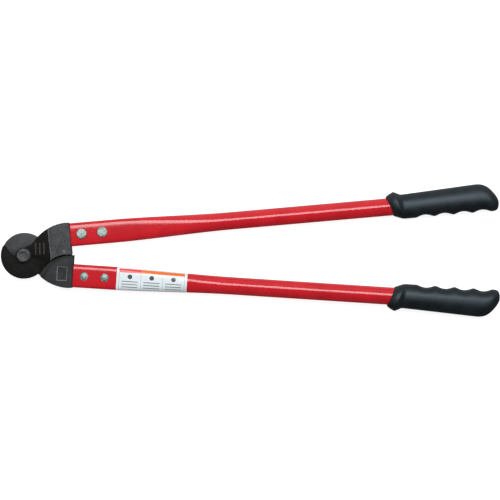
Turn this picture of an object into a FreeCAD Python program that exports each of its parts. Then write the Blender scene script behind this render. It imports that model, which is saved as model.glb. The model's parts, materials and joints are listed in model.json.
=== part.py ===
"""Long-handled shear cable cutter: two identical forged jaw levers on one pivot bolt, each riveted into a
tube handle with a moulded finger grip.

Both arms are the same assembly. Each is drawn in its own frame, with u along the handle, v across it towards
the outside of the tool and z across the blades, measured from the shear plane. The upper arm is turned up by
half the closing angle, and the lower arm is the same one rolled half a turn about X.

Row frame, in millimetres: the pivot axis is x = y = 0, +X runs to the grips, +Y to the upper handle, and the
tool lies on z = 0, on the end of its pivot bolt and on the collars of both grips.
"""
import FreeCAD
import Part

import math
import os

# ---- the whole tool -------------------------------------------------------------------------------------
HALF_CLOSED_ANGLE = 4.35        # each handle's angle to the middle line when the lugs meet, in degrees
HANDLE_OFFSET = 24.3            # handle axis to pivot axis
REST_HEIGHT = 20.0              # shear plane above the surface that the tool lies on
RUNNING_GAP = 0.05              # between faces and round fits that move on each other

# ---- forged jaw lever -----------------------------------------------------------------------------------
JAW_RADIUS = 33.3
SWEEP_RADIUS = 38.4             # the other lever's shank stays outside this, clear of the turning jaw
HUB_RADIUS = 11.6
BLADE_THICKNESS = 7.5
SHANK_HALF_THICKNESS = 9.0
SHOULDER_U = 69.5               # where the forging ends and the tube begins
REAR_REACH = 2.8                # the rear lever's shank is this much longer than the front one's
LUG_START_U = 58.0              # the stop lug's flat runs from here to the shoulder
INNER_LUG_START_U = 65.0        # and on the inner half from here
LUG_GAP = 0.2                   # from each lug to the middle line
STEP_U = 39.7                   # the ground blade face ends at this step
STEP_LEAN = 1.3                 # the step's slant, in degrees
EDGE_ROUND = 1.2
BEVEL = (1.5, 4.0)              # along the cutting edge: across the blade, through its thickness
TEST_MARK = (59.0, 1.9, 2.0, 0.6)    # hardness test dimple in the outer face: u, v, ball radius, depth
TANG_LENGTH = 58.0
TANG_HALF_HEIGHT = 13.8
TANG_HALF_THICKNESS = 3.0
POCKET_CORNER = (49.5, 12.0)    # cast name-plate pocket in the inner face, left blank
POCKET_SIZE = (15.0, 20.6, 1.0)

# ---- handle tube ----------------------------------------------------------------------------------------
TUBE_RADIUS = 12.7
TUBE_WALL = 1.8
PRESSED_HALF_THICKNESS = 5.3
TUBE_END_U = 678.0
UPPER_PRESSED_UNTIL_U = 131.0   # pressed flat up to here; the two tubes were pressed differently
LOWER_PRESSED_UNTIL_U = 116.0
ROUND_FROM_U = 305.0            # from here on the tube is round
TAPER_SECTIONS = 7
SIDE_CROWN = 0.03               # how much rounder than flat the pressed sides are

# ---- fasteners ------------------------------------------------------------------------------------------
RIVET_US = (86.0, 116.0)
RIVET_SHANK_RADIUS = 4.0
RIVET_HEAD_RADIUS = 7.7
RIVET_HEAD_HEIGHT = 2.2
RIVET_TAIL_RADIUS = 5.8
RIVET_TAIL_HEIGHT = 2.6
PIVOT_RADIUS = 6.0
THREAD_RADIUS = 5.0
HEX_ACROSS_FLATS = 17.0
BOLT_HEAD_HEIGHT = 7.0
WASHER_RADIUS = 10.3
WASHER_BORE_RADIUS = 6.3
WASHER_THICKNESS = 2.0
NUT_HEIGHT = 8.0
LOCK_RING_HEIGHT = 2.4
LOCK_RING_RADIUS = 6.6

# ---- grip, as stations (outer u, outer offset, inner u, inner offset, half thickness) from the axis ------
COLLAR_STATIONS = [
    (530.0, 14.6, 539.5, -13.7, 14.4),
    (535.0, 18.8, 543.0, -15.3, 18.0),
    (541.0, 21.0, 548.5, -17.3, 20.0),
    (546.5, 19.0, 552.5, -18.4, 18.4),
    (551.5, 16.4, 556.5, -18.7, 15.9),
]
END_STATIONS = [
    (671.6, 20.0, 675.5, -17.0, 16.0),
    (678.2, 15.8, 682.5, -18.9, 14.6),
    (684.4, 9.4, 689.0, -17.7, 11.6),
    (689.4, 2.8, 692.0, -13.2, 7.6),
    (692.2, -2.6, 692.8, -8.6, 3.2),
]
PALM_START = (551.5, 16.4)
PALM_SLOPE = 0.048
FIRST_CREST_U = 570.6
FINGER_PITCH = 27.8
FINGER_CREST = -18.9
FINGER_DEPTH = 3.3
CREST_BLUNTNESS = 0.3
PALM_END_U = 670.0
GRIP_HALF_THICKNESS = 16.4
GRIP_STATION_STEP = 4.6333

# ---- label ----------------------------------------------------------------------------------------------
LABEL_START_U = 136.0
LABEL_END_U = 238.6
LABEL_THICKNESS = 0.2
LABEL_EDGE_Z = 3.0              # the label wraps this far past the tube's middle, away from its face

X_AXIS = FreeCAD.Vector(1, 0, 0)
Z_AXIS = FreeCAD.Vector(0, 0, 1)


# ---- drawing helpers ------------------------------------------------------------------------------------
def point(u, v, z=0.0):
    return FreeCAD.Vector(u, v, z)


def polar(radius, degrees):
    return point(radius * math.cos(math.radians(degrees)), radius * math.sin(math.radians(degrees)))


def line(a, b):
    return Part.LineSegment(a, b).toShape()


def arc(a, through, b):
    return Part.Arc(a, through, b).toShape()


def plate(edges, z_low, z_high):
    """A flat plate between two heights, with these edges as its outline."""
    face = Part.Face(Part.Wire(edges))
    face.translate(point(0, 0, z_low))
    return face.extrude(point(0, 0, z_high - z_low))


def disc(radius, z_low, z_high, u=0.0, v=0.0):
    return Part.makeCylinder(radius, z_high - z_low, point(u, v, z_low), Z_AXIS)


def turned(profile):
    """The solid that these (radius, z) corners sweep about the Z axis."""
    corners = [point(r, 0, z) for r, z in profile]
    face = Part.Face(Part.makePolygon(corners + corners[:1]))
    return face.revolve(point(0, 0, 0), Z_AXIS, 360)


def round_edges(solid, radius, wanted):
    """The solid with each edge that wanted(edge) names rounded."""
    return solid.makeFillet(radius, [edge for edge in solid.Edges if wanted(edge)])


def middle(edge):
    return edge.valueAt((edge.FirstParameter + edge.LastParameter) / 2)


def lies_at(edge, z):
    return abs(edge.BoundBox.ZMin - z) < 1e-4 and abs(edge.BoundBox.ZMax - z) < 1e-4


def stands_at(edge, corner):
    """Whether this is the upright edge over a corner of the outline."""
    box = edge.BoundBox
    return box.ZLength > 1 and math.hypot(box.XMin - corner.x, box.YMin - corner.y) < 1e-3 \
        and box.XLength < 1e-3


def touches(edge, places):
    """Whether the edge passes, in plan, through one of these places."""
    spots = [Part.Vertex(point(p.x, p.y, edge.BoundBox.ZMin)) for p in places]
    return any(edge.distToShape(spot)[0] < 1e-3 for spot in spots)


# ---- jaw lever ------------------------------------------------------------------------------------------
def lug_point(u):
    """A point of the stop lug's flat, just short of the tool's middle line."""
    return point(u, LUG_GAP - u * math.tan(math.radians(HALF_CLOSED_ANGLE)))


TIP = polar(JAW_RADIUS, 148.9)
EDGE_TIP = point(-25.8, 16.2)
EDGE_MIDDLE = point(-19.7, 6.3)
EDGE_END = point(-14.2, 0.3)
THROAT = polar(HUB_RADIUS, 178.5)
HUB_END = polar(HUB_RADIUS, 84)
NECK_TOP = point(20.0, 23.2)
LUG_START = lug_point(LUG_START_U)
JAW_ROOT = polar(JAW_RADIUS, -51.9)


def shoulder_top(reach):
    return point(SHOULDER_U + reach, 42.0)


def lug_corner(reach):
    return lug_point(SHOULDER_U + reach)


def shank_outline(reach):
    """Over the back of the shank, round the lug and back to the jaw's root."""
    shank_top = point(64.0 + reach, 42.6)
    return [
        arc(NECK_TOP, point(38.5, 36.4), shank_top),
        line(shank_top, shoulder_top(reach)),
        line(shoulder_top(reach), lug_corner(reach)),
        line(lug_corner(reach), LUG_START),
        arc(LUG_START, point(36.5, -11.2), JAW_ROOT),
    ]


def blade(reach):
    """The outer half: jaw, hub and shank in one plate, with its cutting edge bevelled."""
    outline = shank_outline(reach) + [
        arc(JAW_ROOT, polar(JAW_RADIUS, -131.5), TIP),
        line(TIP, EDGE_TIP),
        arc(EDGE_TIP, EDGE_MIDDLE, EDGE_END),
        line(EDGE_END, THROAT),
        arc(THROAT, polar(HUB_RADIUS, 131), HUB_END),
        arc(HUB_END, point(11.3, 15.3), NECK_TOP),
    ]
    body = plate(outline, RUNNING_GAP / 2, BLADE_THICKNESS)
    body = round_edges(body, 4.0, lambda e: stands_at(e, JAW_ROOT) or stands_at(e, HUB_END))
    hub_back = [polar(HUB_RADIUS, 131)]
    body = round_edges(body, EDGE_ROUND, lambda e: lies_at(e, BLADE_THICKNESS) and touches(e, hub_back))
    across, through = BEVEL
    edge = [e for e in body.Edges if lies_at(e, BLADE_THICKNESS) and touches(e, [EDGE_MIDDLE])]
    body = body.makeChamfer(through, across, edge)
    # The jaw's rim is turned: a round-edged disc trims it, as far as the shank.
    rim = round_edges(disc(JAW_RADIUS, -1, BLADE_THICKNESS), EDGE_ROUND, lambda e: lies_at(e, BLADE_THICKNESS))
    beyond = Part.makeBox(100, 200, BLADE_THICKNESS + 1, point(JAW_ROOT.x, -100, -1))
    return body.common(rim.fuse(beyond))


def relief():
    """What the inner half of the shank leaves free for the other lever's jaw and neck."""
    z_low = -SHANK_HALF_THICKNESS - 1
    z_high = RUNNING_GAP / 2
    exit_u = 35.0
    sweep_exit = point(exit_u, math.sqrt(SWEEP_RADIUS ** 2 - exit_u ** 2))
    lug_face = lug_point(INNER_LUG_START_U)
    below = -60.0
    neck_room = plate([
        line(point(0, 0), sweep_exit),
        arc(sweep_exit, point(46.0, 3.9), lug_face),
        line(lug_face, point(lug_face.x, below)),
        line(point(lug_face.x, below), point(0, below)),
        line(point(0, below), point(0, 0)),
    ], z_low, z_high)
    return disc(SWEEP_RADIUS, z_low, z_high).fuse(neck_room)


def step_cutter():
    """Room above the ground blade face, up to the step; below that face the blade itself fills it."""
    rise = SHANK_HALF_THICKNESS - BLADE_THICKNESS
    z_low = RUNNING_GAP / 2
    z_high = SHANK_HALF_THICKNESS + 0.01
    corners = [point(-90, -60, z_low), point(STEP_U - rise, -60, z_low),
               point(STEP_U - rise, -60, BLADE_THICKNESS), point(STEP_U, -60, z_high), point(-90, -60, z_high)]
    cutter = Part.Face(Part.makePolygon(corners + corners[:1])).extrude(point(0, 140, 0))
    cutter.rotate(point(STEP_U, 12, 0), Z_AXIS, STEP_LEAN)
    return cutter


def shank(reach):
    half = SHANK_HALF_THICKNESS
    body = plate(shank_outline(reach) + [line(JAW_ROOT, NECK_TOP)], -half, half)
    body = round_edges(body, 2.0, lambda e: stands_at(e, shoulder_top(reach)) or stands_at(e, lug_corner(reach)))
    body = round_edges(body, EDGE_ROUND,
                       lambda e: (lies_at(e, half) or lies_at(e, -half)) and middle(e).x > NECK_TOP.x + 1)
    body = body.cut(step_cutter()).cut(relief())
    return body.cut(plate_pocket())


def plate_pocket():
    """The pocket's sides slope at 45 degrees, as a forging die leaves them."""
    u, v = POCKET_CORNER
    width, height, depth = POCKET_SIZE

    def rim(sunk):
        z = sunk - SHANK_HALF_THICKNESS
        return [point(u + sunk, v + sunk, z), point(u + width - sunk, v + sunk, z),
                point(u + width - sunk, v + height - sunk, z), point(u + sunk, v + height - sunk, z)]

    outside, floor = rim(-0.5), rim(depth)
    sides = [[outside[i], outside[(i + 1) % 4], floor[(i + 1) % 4], floor[i]] for i in range(4)]
    faces = [Part.Face(Part.makePolygon(corners + corners[:1])) for corners in [outside, floor] + sides]
    solid = Part.Solid(Part.Shell(faces))
    if solid.Volume < 0:
        solid.reverse()
    return solid


def tang(reach):
    """The flat tongue that the tube is pressed on to."""
    tongue = Part.makeBox(TANG_LENGTH + 6, 2 * TANG_HALF_HEIGHT, 2 * TANG_HALF_THICKNESS,
                          point(SHOULDER_U + reach - 6, HANDLE_OFFSET - TANG_HALF_HEIGHT, -TANG_HALF_THICKNESS))
    return round_edges(tongue, TANG_HALF_THICKNESS - 0.5, lambda e: e.BoundBox.XLength > TANG_LENGTH)


def rivet_places(reach):
    return [u + reach for u in RIVET_US]


def jaw_lever(reach):
    lever = blade(reach).fuse([shank(reach), tang(reach)]).removeSplitter()
    mark_u, mark_v, ball, depth = TEST_MARK
    lever = lever.cut(Part.makeSphere(ball, point(mark_u, mark_v, SHANK_HALF_THICKNESS + ball - depth)))
    lever = lever.cut(disc(PIVOT_RADIUS + RUNNING_GAP, -20, 20))
    for u in rivet_places(reach):
        lever = lever.cut(disc(RIVET_SHANK_RADIUS + RUNNING_GAP, -20, 20, u, HANDLE_OFFSET))
    return lever


# ---- handle tube ----------------------------------------------------------------------------------------
def half_height_for(half_thickness):
    """A tube pressed to this half thickness keeps its girth, so it spreads to this half height."""
    return half_thickness + math.pi / 2 * (TUBE_RADIUS - half_thickness)


def pressed_half_height():
    return half_height_for(PRESSED_HALF_THICKNESS)


def oval(centre, along, half_height, half_thickness):
    """A closed section of four arcs that meet smoothly: 'along' is its long direction, Z its short one."""
    spread = half_height - half_thickness
    end_radius = half_thickness - SIDE_CROWN * spread
    if spread < 1e-6:
        side_radius = end_radius
        turn = math.atan(2 * SIDE_CROWN / (1 + SIDE_CROWN))
    else:
        side_radius = ((half_height - end_radius) ** 2 + half_thickness ** 2 - end_radius ** 2) \
            / (2 * (half_thickness - end_radius))
        turn = math.atan2(half_height - end_radius, side_radius - half_thickness)

    def at(p, z):
        return centre + along * p + Z_AXIS * z

    p = side_radius * math.sin(turn)
    z = end_radius * math.cos(turn)
    return Part.Wire([
        arc(at(-p, z), at(0, half_thickness), at(p, z)),
        arc(at(p, z), at(half_height, 0), at(p, -z)),
        arc(at(p, -z), at(0, -half_thickness), at(-p, -z)),
        arc(at(-p, -z), at(-half_height, 0), at(-p, z)),
    ])


def tube_body(taper_u, grow, start_u=SHOULDER_U, end_u=TUBE_END_U):
    """The tube's outside as a solid, grown outwards by 'grow': pressed flat, then tapering up to round."""

    def section(u, half_thickness):
        return oval(point(u, HANDLE_OFFSET), point(0, 1), half_height_for(half_thickness) + grow,
                    half_thickness + grow)

    sections = []
    for i in range(TAPER_SECTIONS):
        share = i / (TAPER_SECTIONS - 1)
        eased = share * share * (3 - 2 * share)
        half_thickness = PRESSED_HALF_THICKNESS + (TUBE_RADIUS - PRESSED_HALF_THICKNESS) * eased
        sections.append(section(taper_u + (ROUND_FROM_U - taper_u) * share, half_thickness))
    taper = Part.makeLoft(sections, True, False)
    flat = Part.Face(section(start_u, PRESSED_HALF_THICKNESS)).extrude(point(taper_u - start_u, 0))
    straight = Part.Face(sections[-1]).extrude(point(end_u - ROUND_FROM_U, 0))
    return flat.fuse([taper, straight])


def handle_tube(taper_u, reach):
    bore = tube_body(taper_u, -TUBE_WALL, SHOULDER_U - 1, TUBE_END_U + 1)
    tube = tube_body(taper_u, 0, SHOULDER_U + reach).cut(bore)
    for u in rivet_places(reach):
        tube = tube.cut(disc(RIVET_SHANK_RADIUS + RUNNING_GAP, -20, 20, u, HANDLE_OFFSET))
    return tube


def label(taper_u):
    skin = tube_body(taper_u, LABEL_THICKNESS).cut(tube_body(taper_u, 0))
    window = Part.makeBox(LABEL_END_U - LABEL_START_U, 60, 60 + LABEL_EDGE_Z,
                          point(LABEL_START_U, HANDLE_OFFSET - 30, -60))
    return skin.common(window)


# ---- grip -----------------------------------------------------------------------------------------------
def finger_edge(u):
    """The finger side's offset: wide round valleys between narrow crests."""
    wave = math.sin(math.pi * (u - FIRST_CREST_U) / FINGER_PITCH)
    rise = math.hypot(wave, CREST_BLUNTNESS) - CREST_BLUNTNESS
    return FINGER_CREST + FINGER_DEPTH * rise / (math.hypot(1, CREST_BLUNTNESS) - CREST_BLUNTNESS)


def grip_stations():
    stations = list(COLLAR_STATIONS)
    u = COLLAR_STATIONS[-1][0] + GRIP_STATION_STEP
    while u < PALM_END_U:
        outer = PALM_START[1] + PALM_SLOPE * (u - PALM_START[0])
        settle = max(0.0, 1 - (u - PALM_START[0]) / 16)
        inner = finger_edge(u) + settle * (FINGER_CREST - finger_edge(u))
        stations.append((u, outer, u + 5 * settle, inner, GRIP_HALF_THICKNESS - 0.5 * settle))
        u += GRIP_STATION_STEP
    return stations + END_STATIONS


def grip():
    sections = []
    for outer_u, outer, inner_u, inner, half_thickness in grip_stations():
        top = point(outer_u, HANDLE_OFFSET + outer)
        bottom = point(inner_u, HANDLE_OFFSET + inner)
        along = (top - bottom).normalize()
        half_height = (top - bottom).Length / 2
        sections.append(egg(bottom + along * half_height, along, half_height, half_thickness))
    body = Part.makeLoft(sections, True, False)
    bore = Part.makeCylinder(TUBE_RADIUS, TUBE_END_U - 500, point(500, HANDLE_OFFSET), X_AXIS)
    return body.cut(bore)


def egg(centre, along, half_height, half_thickness):
    """A closed elliptical section: a unit circle stretched, so that every section starts at the same place."""
    normal = along.cross(Z_AXIS)
    columns = [along * half_height, Z_AXIS * half_thickness, normal]
    stretch = FreeCAD.Matrix(columns[0].x, columns[1].x, columns[2].x, centre.x,
                             columns[0].y, columns[1].y, columns[2].y, centre.y,
                             columns[0].z, columns[1].z, columns[2].z, centre.z,
                             0, 0, 0, 1)
    return Part.Wire(Part.makeCircle(1.0).transformGeometry(stretch).Edges)


# ---- fasteners ------------------------------------------------------------------------------------------
def rivet(u):
    seat = PRESSED_HALF_THICKNESS + RUNNING_GAP
    body = turned([
        (0, seat + RIVET_HEAD_HEIGHT),
        (RIVET_HEAD_RADIUS - 1.3, seat + RIVET_HEAD_HEIGHT),
        (RIVET_HEAD_RADIUS - 0.3, seat + RIVET_HEAD_HEIGHT - 0.6),
        (RIVET_HEAD_RADIUS, seat + RIVET_HEAD_HEIGHT - 1.3),
        (RIVET_HEAD_RADIUS, seat),
        (RIVET_SHANK_RADIUS, seat),
        (RIVET_SHANK_RADIUS, -seat),
        (0, -seat),
    ])
    # The tail is a low dome: a slice of the ball through its rim and its crown.
    ball_radius = (RIVET_TAIL_RADIUS ** 2 + RIVET_TAIL_HEIGHT ** 2) / (2 * RIVET_TAIL_HEIGHT)
    ball = Part.makeSphere(ball_radius, point(0, 0, -seat - RIVET_TAIL_HEIGHT + ball_radius))
    tail = ball.common(disc(20, -seat - 10, -seat))
    body = body.fuse(tail).removeSplitter()
    body.translate(point(u, HANDLE_OFFSET))
    return body


def hexagon(z_low, z_high, crown_up):
    """A hexagon prism whose corners are turned off on one end face."""
    corners = [polar(HEX_ACROSS_FLATS / math.sqrt(3), 60 * i + 12) for i in range(6)]
    prism = Part.Face(Part.makePolygon(corners + corners[:1]))
    prism.translate(point(0, 0, z_low))
    prism = prism.extrude(point(0, 0, z_high - z_low))
    rim = HEX_ACROSS_FLATS / 2 * 0.97
    reach = 6.0
    if crown_up:
        cone = turned([(0, z_low), (rim + reach, z_low), (rim + reach, z_high - reach / 2), (rim, z_high),
                       (0, z_high)])
    else:
        cone = turned([(0, z_high), (rim + reach, z_high), (rim + reach, z_low + reach / 2), (rim, z_low),
                       (0, z_low)])
    return prism.common(cone)


WASHER_SEAT = BLADE_THICKNESS + RUNNING_GAP
CLAMP_FACE = WASHER_SEAT + WASHER_THICKNESS


def pivot_bolt():
    head = hexagon(CLAMP_FACE, CLAMP_FACE + BOLT_HEAD_HEIGHT, True)
    head = head.cut(disc(5.4, CLAMP_FACE + BOLT_HEAD_HEIGHT - 0.5, CLAMP_FACE + BOLT_HEAD_HEIGHT + 1))
    stem = turned([
        (0, CLAMP_FACE),
        (PIVOT_RADIUS, CLAMP_FACE),
        (PIVOT_RADIUS, -CLAMP_FACE + 0.4),
        (THREAD_RADIUS, -CLAMP_FACE),
        (THREAD_RADIUS, -REST_HEIGHT + 1.0),
        (THREAD_RADIUS - 1.0, -REST_HEIGHT),
        (0, -REST_HEIGHT),
    ])
    return head.fuse(stem).removeSplitter()


def washer():
    ring = disc(WASHER_RADIUS, WASHER_SEAT, CLAMP_FACE).cut(disc(WASHER_BORE_RADIUS, 0, 20))
    return round_edges(ring, 0.4, lambda e: lies_at(e, CLAMP_FACE) and e.BoundBox.XLength > 18)


def lock_nut():
    nut = hexagon(-CLAMP_FACE - NUT_HEIGHT, -CLAMP_FACE, False)
    nut = nut.cut(disc(THREAD_RADIUS, -30, 0))
    ring_top = -CLAMP_FACE - NUT_HEIGHT + 0.4 + LOCK_RING_HEIGHT
    return nut.cut(disc(LOCK_RING_RADIUS, -30, ring_top))


def lock_ring():
    ring_low = -CLAMP_FACE - NUT_HEIGHT + 0.4
    return disc(LOCK_RING_RADIUS, ring_low, ring_low + LOCK_RING_HEIGHT).cut(disc(THREAD_RADIUS, -30, 0))


# ---- placing and writing --------------------------------------------------------------------------------
def placed(shape, lower):
    """A piece drawn in its arm's frame, moved to where it is in the closed tool."""
    done = shape.copy()
    done.rotate(point(0, 0), Z_AXIS, HALF_CLOSED_ANGLE)
    if lower:
        done.rotate(point(0, 0), X_AXIS, 180)
    done.translate(point(0, 0, REST_HEIGHT))
    return done


def pieces():
    handle_grip = grip()
    nodes = {
        "front_lever": placed(jaw_lever(0), False),
        "rear_lever": placed(jaw_lever(REAR_REACH), True),
        "upper_handle_tube": placed(handle_tube(UPPER_PRESSED_UNTIL_U, 0), False),
        "lower_handle_tube": placed(handle_tube(LOWER_PRESSED_UNTIL_U, REAR_REACH), True),
        "upper_grip": placed(handle_grip, False),
        "lower_grip": placed(handle_grip, True),
        "handle_label": placed(label(LOWER_PRESSED_UNTIL_U), True),
    }
    for i in range(len(RIVET_US)):
        nodes["upper_rivet_" + str(i + 1)] = placed(rivet(rivet_places(0)[i]), False)
        nodes["lower_rivet_" + str(i + 1)] = placed(rivet(rivet_places(REAR_REACH)[i]), True)
    pivot = {
        "pivot_bolt": pivot_bolt(),
        "front_washer": washer(),
        "rear_washer": washer().mirror(point(0, 0), Z_AXIS),
        "lock_nut": lock_nut(),
        "lock_nut_ring": lock_ring(),
    }
    for name, shape in pivot.items():
        shape.translate(point(0, 0, REST_HEIGHT))
        nodes[name] = shape
    return nodes


os.makedirs("parts", exist_ok=True)
for name, shape in pieces().items():
    shape.exportStep("parts/" + name + ".step")
    box = shape.BoundBox
    print(f"{name:20s} solids {len(shape.Solids)} valid {shape.isValid()} volume {shape.Volume:9.1f}  "
          f"x {box.XMin:.1f} {box.XMax:.1f}  y {box.YMin:.1f} {box.YMax:.1f}  z {box.ZMin:.1f} {box.ZMax:.1f}")
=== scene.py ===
# %% [markdown]
# # A long-handled cable cutter
# The tool is two identical arms on one pivot bolt. Each arm is a forged jaw lever, a steel tube that is pressed
# flat where it is riveted to the lever, and a moulded rubber grip. The lower arm is the upper one rolled half a
# turn about the tool's long axis, so every piece is made once, in its arm's own frame, and placed twice.
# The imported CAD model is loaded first: it says where everything is, and how large.

import bpy
import bmesh
import json
import math
import numpy as np
from mathutils import Matrix, Vector


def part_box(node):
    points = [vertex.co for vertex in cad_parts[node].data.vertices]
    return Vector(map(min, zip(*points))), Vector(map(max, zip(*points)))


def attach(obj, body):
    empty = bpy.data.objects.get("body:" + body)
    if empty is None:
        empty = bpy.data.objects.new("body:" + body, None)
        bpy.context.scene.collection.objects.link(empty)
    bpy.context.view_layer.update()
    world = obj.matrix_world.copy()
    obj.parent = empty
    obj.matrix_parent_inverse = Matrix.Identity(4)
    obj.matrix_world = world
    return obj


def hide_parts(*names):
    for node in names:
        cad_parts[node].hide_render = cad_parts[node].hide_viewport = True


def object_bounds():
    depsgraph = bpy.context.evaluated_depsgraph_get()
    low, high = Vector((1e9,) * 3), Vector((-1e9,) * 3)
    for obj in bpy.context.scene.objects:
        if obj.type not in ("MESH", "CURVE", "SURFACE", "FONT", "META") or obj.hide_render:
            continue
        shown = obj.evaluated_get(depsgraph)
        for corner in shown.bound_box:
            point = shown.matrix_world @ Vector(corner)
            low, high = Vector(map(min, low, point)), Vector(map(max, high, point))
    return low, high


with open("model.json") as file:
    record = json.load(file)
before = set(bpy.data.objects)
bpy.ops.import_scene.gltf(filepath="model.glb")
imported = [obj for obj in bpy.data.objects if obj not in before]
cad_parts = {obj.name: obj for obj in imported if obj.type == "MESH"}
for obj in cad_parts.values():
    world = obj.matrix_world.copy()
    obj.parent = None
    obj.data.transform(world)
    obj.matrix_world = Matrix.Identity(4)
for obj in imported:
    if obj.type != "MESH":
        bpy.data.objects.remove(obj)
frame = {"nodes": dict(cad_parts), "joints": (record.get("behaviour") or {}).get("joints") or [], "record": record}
cad_box = [list(corner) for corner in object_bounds()]
print("CAD box", cad_box)

# %% [markdown]
# ## The arm's frame
# A handle is easiest to shape along its own axis, so a piece is drawn in millimetres with u along the handle, v
# across it towards the outside of the tool, and z up from the plane where the two blades shear. The record's
# hand-hold mount gives the handle's direction and its distance from the pivot, and the joint gives the pivot.

# %% Arm frames
MM = 0.001
pivot = Vector(frame["joints"][0]["pos_m"])
holds = {mount["name"]: mount for mount in frame["record"]["mounts"]}
hold = holds["upper_hand_hold"]
handle_turn = math.atan2(hold["axis"][1], hold["axis"][0])
handle_v = (-hold["pos_m"][0] * math.sin(handle_turn) + hold["pos_m"][1] * math.cos(handle_turn)) / MM
ARMS = {"upper": "upper_arm", "lower": "lower_arm"}


def arm_matrix(arm):
    """From an arm's frame, in millimetres, to the tool's, in metres."""
    roll = Matrix.Rotation(math.pi, 4, "X") if arm == "lower" else Matrix.Identity(4)
    return Matrix.Translation(pivot) @ roll @ Matrix.Rotation(handle_turn, 4, "Z") @ Matrix.Scale(MM, 4)


PIVOT_MATRIX = Matrix.Translation(pivot) @ Matrix.Scale(MM, 4)
print("handle turned", round(math.degrees(handle_turn), 3), "degrees, axis", round(handle_v, 2), "mm out")

# %% [markdown]
# ## Maths on sockets
# Shader and geometry trees both do their sums with Math nodes. A small class wraps a socket, so that a sum is
# written as Python and adds its own nodes; the reflected forms let a plain number stand on the left. Every other
# kind of node comes from one method that takes its type, its settings, and the values or links of its sockets.


# %% Graph helpers
class Value:
    """One socket of a node tree, with arithmetic."""

    def __init__(self, graph, node, output=0):
        self.graph, self.node, self.socket = graph, node, node.outputs[output]

    def out(self, output):
        """Another output of the same node."""
        return Value(self.graph, self.node, output)

    def math(self, operation, *others):
        inputs = {i: value for i, value in enumerate((self,) + others)}
        return self.graph.add("ShaderNodeMath", {"operation": operation}, inputs)

    def __add__(self, other):
        return self.math("ADD", other)

    def __radd__(self, other):
        return self.math("ADD", other)

    def __sub__(self, other):
        return self.math("SUBTRACT", other)

    def __rsub__(self, other):
        return self.graph.add("ShaderNodeMath", {"operation": "SUBTRACT"}, {0: other, 1: self})

    def __mul__(self, other):
        return self.math("MULTIPLY", other)

    def __rmul__(self, other):
        return self.math("MULTIPLY", other)

    def __truediv__(self, other):
        return self.math("DIVIDE", other)

    def __rtruediv__(self, other):
        return self.graph.add("ShaderNodeMath", {"operation": "DIVIDE"}, {0: other, 1: self})

    def __gt__(self, other):
        return self.math("GREATER_THAN", other)

    def __lt__(self, other):
        return self.math("LESS_THAN", other)

    def sqrt(self):
        return self.math("SQRT")

    def smooth(self, low, high):
        """0 below low, 1 above high, and an S-curve between."""
        return self.graph.add("ShaderNodeMapRange", {"interpolation_type": "SMOOTHSTEP"},
                              {"Value": self, "From Min": low, "From Max": high})

    def between(self, low, high):
        return (self > low) * (self < high)


class Graph:
    """A node tree that is built from Python."""

    def __init__(self, tree):
        self.tree = tree

    def add(self, kind, settings=None, inputs=None, output=0):
        node = self.tree.nodes.new(kind)
        for name, value in (settings or {}).items():
            setattr(node, name, value)
        for name, value in (inputs or {}).items():
            if isinstance(value, Value):
                self.tree.links.new(value.socket, node.inputs[name])
            else:
                node.inputs[name].default_value = value
        return Value(self, node, output)


# %% [markdown]
# ## Finishes
# Each finish is one Principled shader whose colour, and mostly its roughness and bump too, vary with noise in the
# tool's own coordinates, so a pattern has its real size wherever the piece is. A helper makes the shader and the
# coordinates, and each finish then says only what is special about it.


# %% Material helpers
def finish(name, metallic=0.0, roughness=0.5, **sockets):
    """A new material: its graph, its Principled shader, and position in millimetres."""
    material = bpy.data.materials.new(name)
    material.use_nodes = True
    graph = Graph(material.node_tree)
    shader = next(node for node in material.node_tree.nodes if node.type == "BSDF_PRINCIPLED")
    shader.inputs["Metallic"].default_value = metallic
    shader.inputs["Roughness"].default_value = roughness
    for socket, value in sockets.items():
        shader.inputs[socket.replace("_", " ")].default_value = value
    place = graph.add("ShaderNodeTexCoord", output="Object")
    place = graph.add("ShaderNodeVectorMath", {"operation": "SCALE"}, {0: place, "Scale": 1 / MM})
    return material, graph, shader, place


def link(graph, value, shader, socket):
    graph.tree.links.new(value.socket, shader.inputs[socket])


def noise(graph, place, size_mm, detail=3.0, stretch=(1, 1, 1)):
    """Noise from 0 to 1 whose blotches are about size_mm across."""
    spread = graph.add("ShaderNodeVectorMath", {"operation": "MULTIPLY"},
                       {0: place, 1: tuple(1 / (size_mm * s) for s in stretch)})
    return graph.add("ShaderNodeTexNoise", {}, {"Vector": spread, "Scale": 1.0, "Detail": detail})


def mix(graph, amount, colour_a, colour_b):
    """From colour_a at 0 to colour_b at 1; a colour is three numbers or a Value."""
    a, b = [c if isinstance(c, Value) else (*c, 1) for c in (colour_a, colour_b)]
    return graph.add("ShaderNodeMix", {"data_type": "RGBA"}, {0: amount, 6: a, 7: b}, output=2)


def bump(graph, shader, height, depth_mm):
    """Raises the surface by up to depth_mm where height is 1."""
    normal = graph.add("ShaderNodeBump", {}, {"Height": height, "Distance": depth_mm * MM, "Strength": 1.0})
    link(graph, normal, shader, "Normal")


# %% [markdown]
# ### Forged steel
# The levers are drop forgings. Their shanks are shot-blasted and phosphated to a sandy grey. The jaw's outer face
# is ground and then blacked, and still oily, and the inner faces that slide on each other are ground satin grey
# with faint circular marks round the pivot. Edges are rubbed a little brighter. The step, the sides of the pocket
# and the test mark are painted brighter still, as painted highlight where they catch the light. A shank's inner
# half is darker, and along its scooped edge it is painted near black, as painted shade in the gap between the
# levers. The black of the blade is also painted on walls and flats in that gap, as painted shade. The front
# blade's stamping is a plain pattern of ticks. Each region is a material of its own, and faces are given theirs
# when the lever is made.

# %% Forged steel
SCOOP_CENTRE = (71.1, 46.8)       # each shank's inner half is scooped out along this circle, in mm from the
SCOOP_RADIUS = 47.0               # pivot in the tool's own frame, with y counted from the middle line


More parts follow.
